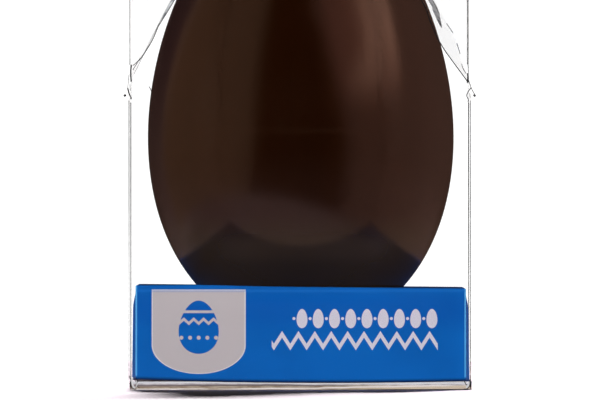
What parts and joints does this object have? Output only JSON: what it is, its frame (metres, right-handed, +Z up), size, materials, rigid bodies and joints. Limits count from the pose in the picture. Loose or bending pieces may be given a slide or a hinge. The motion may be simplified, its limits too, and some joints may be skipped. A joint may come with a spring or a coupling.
{
  "type": "boxed chocolate egg",
  "caption": "Dark chocolate egg standing broad end down in a blue card tray, inside a square carton of clear film with a gabled top.",
  "frame": {"origin": "middle of the underside, on the surface that the carton stands on", "axes": "+Z up through the egg, +X along the ridge of the top, -Y out of the front"},
  "size_m": [0.115, 0.115, 0.2158],
  "materials": {
    "chocolate": "polished dark chocolate, glossy with faint smears",
    "blue_card": "printed blue card with a satin varnish",
    "clear_film": "thin clear plastic film, creased at the folds"
  },
  "bodies": {
    "root": {"chocolate_egg": "chocolate", "card_tray": "blue_card", "clear_carton": "clear_film"}
  },
  "joints": []
}
